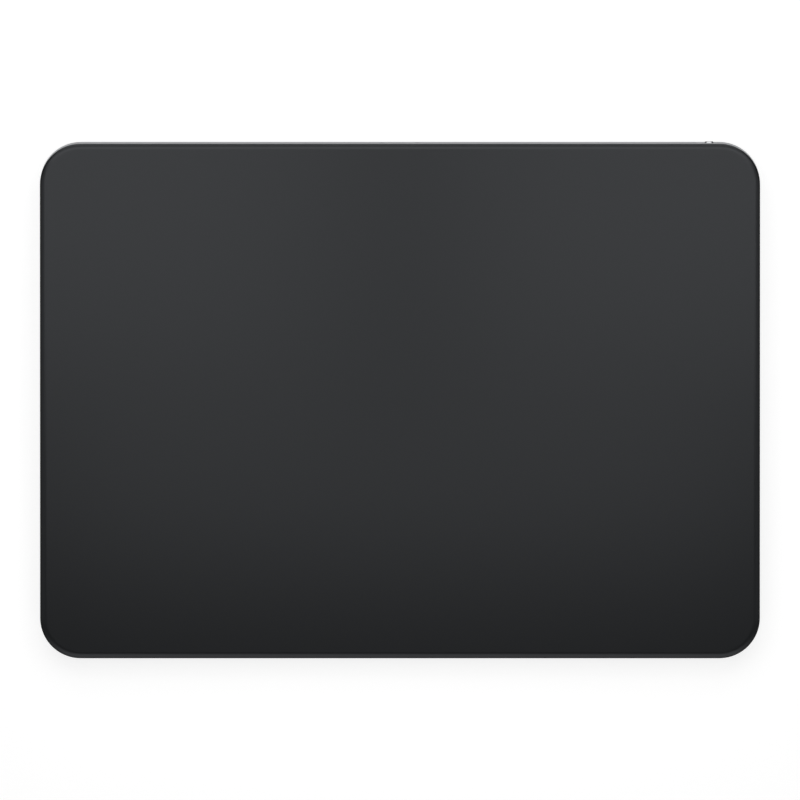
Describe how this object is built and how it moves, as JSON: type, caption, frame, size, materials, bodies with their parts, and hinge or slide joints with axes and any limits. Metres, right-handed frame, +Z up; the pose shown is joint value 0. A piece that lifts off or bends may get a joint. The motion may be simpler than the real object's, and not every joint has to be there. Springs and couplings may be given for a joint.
{
  "type": "trackpad",
  "caption": "Low wedge-shaped wireless trackpad with a dark satin glass top, aluminium housing, rear charging socket, sliding power switch and force-sensing feet.",
  "frame": {"origin": "on the desk, under the middle of the pad's outline", "axes": "+X to the user's right, +Y to the rear edge, away from the user, +Z up from the desk"},
  "size_m": [0.16, 0.115, 0.0108],
  "materials": {
    "black_glass": "finely etched satin glass over a black coat",
    "adhesive_film": "thin adhesive film",
    "anodised_aluminium": "bead-blasted and clear anodised",
    "slider_metal": "bead-blasted and clear anodised",
    "cover_plastic": "fine moulded texture",
    "foot_rubber": "matt silicone rubber",
    "carrier_steel": "turned steel",
    "spring_steel": "rolled spring steel",
    "circuit_board": "green solder mask",
    "chip_plastic": "moulded black resin",
    "connector_plastic": "moulded nylon",
    "sheet_steel": "plated sheet steel",
    "screw_steel": "blackened steel",
    "contact_gold": "gold plated",
    "on_mark_green": "printed film",
    "battery_pouch": "laminated foil pouch",
    "copper_winding": "enamelled copper wire",
    "magnet_nickel": "nickel plated",
    "ribbon_film": "polyimide film"
  },
  "bodies": {
    "chassis": {"glass_top": "black_glass", "bond_sheet": "adhesive_film", "bond_frame": "adhesive_film", "cover_tape": "adhesive_film", "battery_tape": "adhesive_film", "housing": "anodised_aluminium", "bottom_cover": "cover_plastic", "flexure_front_left": "spring_steel", "flexure_front_right": "spring_steel", "flexure_rear_left": "spring_steel", "flexure_rear_right": "spring_steel", "haptic_springs": "spring_steel", "touch_sensor_board": "circuit_board", "main_board": "circuit_board", "switch_board": "circuit_board", "battery_protection_board": "circuit_board", "board_chips": "chip_plastic", "switch_body": "chip_plastic", "switch_backing": "chip_plastic", "charge_socket_tongue": "chip_plastic", "board_connectors": "connector_plastic", "shield_can": "sheet_steel", "charge_socket_shell": "sheet_steel", "socket_saddle": "sheet_steel", "haptic_frame": "sheet_steel", "flexure_screws": "screw_steel", "board_screws": "screw_steel", "saddle_screws": "screw_steel", "switch_screws": "screw_steel", "haptic_screws": "screw_steel", "charge_socket_contacts": "contact_gold", "antenna_pins": "contact_gold", "switch_on_mark": "on_mark_green", "battery_cell": "battery_pouch", "haptic_coils": "copper_winding", "strain_gauges": "ribbon_film", "battery_lead": "ribbon_film", "haptic_lead": "ribbon_film", "sensor_ribbon": "ribbon_film", "force_ribbon_left": "ribbon_film", "force_ribbon_right": "ribbon_film", "switch_ribbon": "ribbon_film", "radio_antenna": "ribbon_film"},
    "foot_front_left": {"foot_pad_front_left": "foot_rubber", "foot_carrier_front_left": "carrier_steel"},
    "foot_front_right": {"foot_pad_front_right": "foot_rubber", "foot_carrier_front_right": "carrier_steel"},
    "foot_rear_left": {"foot_pad_rear_left": "foot_rubber", "foot_carrier_rear_left": "carrier_steel"},
    "foot_rear_right": {"foot_pad_rear_right": "foot_rubber", "foot_carrier_rear_right": "carrier_steel"},
    "power_switch": {"power_slider": "slider_metal", "switch_stem": "chip_plastic"},
    "haptic_mass": {"haptic_yoke": "sheet_steel", "haptic_magnets": "magnet_nickel"}
  },
  "joints": [
    {"name": "foot_front_left_press", "type": "slide", "parent": "chassis", "child": "foot_front_left", "axis": [0, 0, 1], "range_m": [0, 0.00025], "stiffness_N_per_m": 800, "springref_m": -0.00062, "deforming": ["flexure_front_left"]},
    {"name": "foot_front_right_press", "type": "slide", "parent": "chassis", "child": "foot_front_right", "axis": [0, 0, 1], "range_m": [0, 0.00025], "stiffness_N_per_m": 800, "springref_m": -0.00062, "deforming": ["flexure_front_right"]},
    {"name": "foot_rear_left_press", "type": "slide", "parent": "chassis", "child": "foot_rear_left", "axis": [0, 0, 1], "range_m": [0, 0.00025], "stiffness_N_per_m": 800, "springref_m": -0.00076, "deforming": ["flexure_rear_left"]},
    {"name": "foot_rear_right_press", "type": "slide", "parent": "chassis", "child": "foot_rear_right", "axis": [0, 0, 1], "range_m": [0, 0.00025], "stiffness_N_per_m": 800, "springref_m": -0.00076, "deforming": ["flexure_rear_right"]},
    {"name": "power_switch_slide", "type": "slide", "parent": "chassis", "child": "power_switch", "axis": [1, 0, 0], "range_m": [-0.0022, 0]},
    {"name": "haptic_mass_slide", "type": "slide", "parent": "chassis", "child": "haptic_mass", "axis": [1, 0, 0], "range_m": [-0.0004, 0.0004], "stiffness_N_per_m": 6000, "deforming": ["haptic_springs"]}
  ]
}
